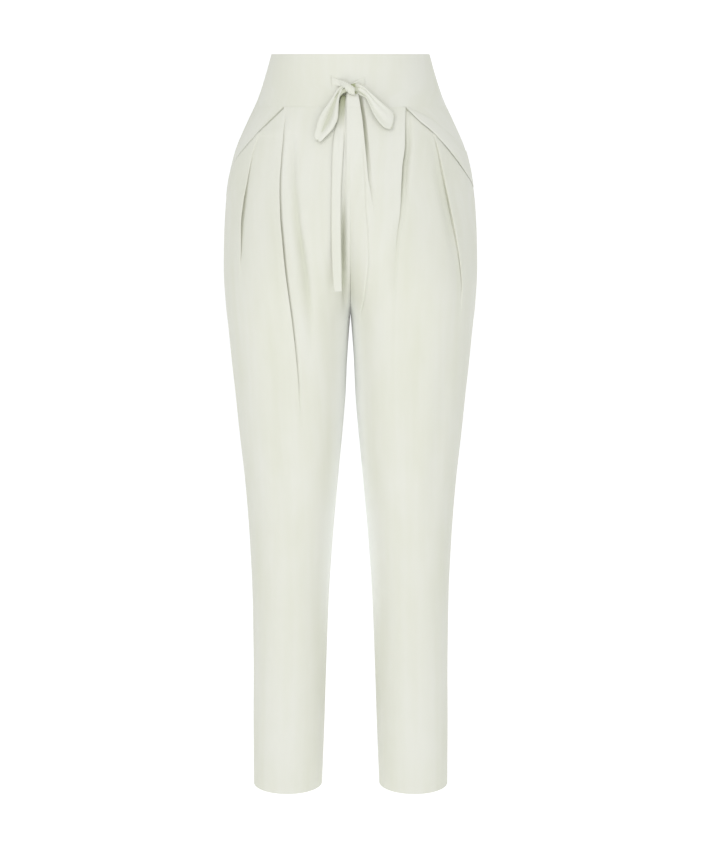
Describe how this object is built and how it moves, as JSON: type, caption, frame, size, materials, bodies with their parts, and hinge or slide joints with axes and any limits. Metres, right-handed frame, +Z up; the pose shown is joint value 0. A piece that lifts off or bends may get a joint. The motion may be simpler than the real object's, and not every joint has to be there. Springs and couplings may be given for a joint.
{
  "type": "pleated tapered trousers",
  "caption": "High-waisted trousers with a wide band, pleated fronts, slanted pockets, tapered legs and a sash tied in a bow, held open as if worn.",
  "frame": {"origin": "centre of the waist opening, level with the top edge of the waistband", "axes": "+Z up along the standing wearer, -Y out of the front, +X to the wearer's left"},
  "size_m": [0.3529, 0.2477, 1.05],
  "materials": {
    "crepe": "matt woven crepe, pale sage ivory"
  },
  "bodies": {
    "root": {"front_right": "crepe", "front_left": "crepe", "back_right": "crepe", "back_left": "crepe", "waistband_front": "crepe", "waistband_back": "crepe", "hip_facing_right": "crepe", "hip_facing_left": "crepe", "pocket_welt_left": "crepe", "tie_strand_right": "crepe", "tie_strand_left": "crepe", "tie_knot": "crepe", "tie_loop_right": "crepe", "tie_loop_left": "crepe", "tie_tail_right": "crepe", "tie_tail_left": "crepe"}
  },
  "joints": []
}
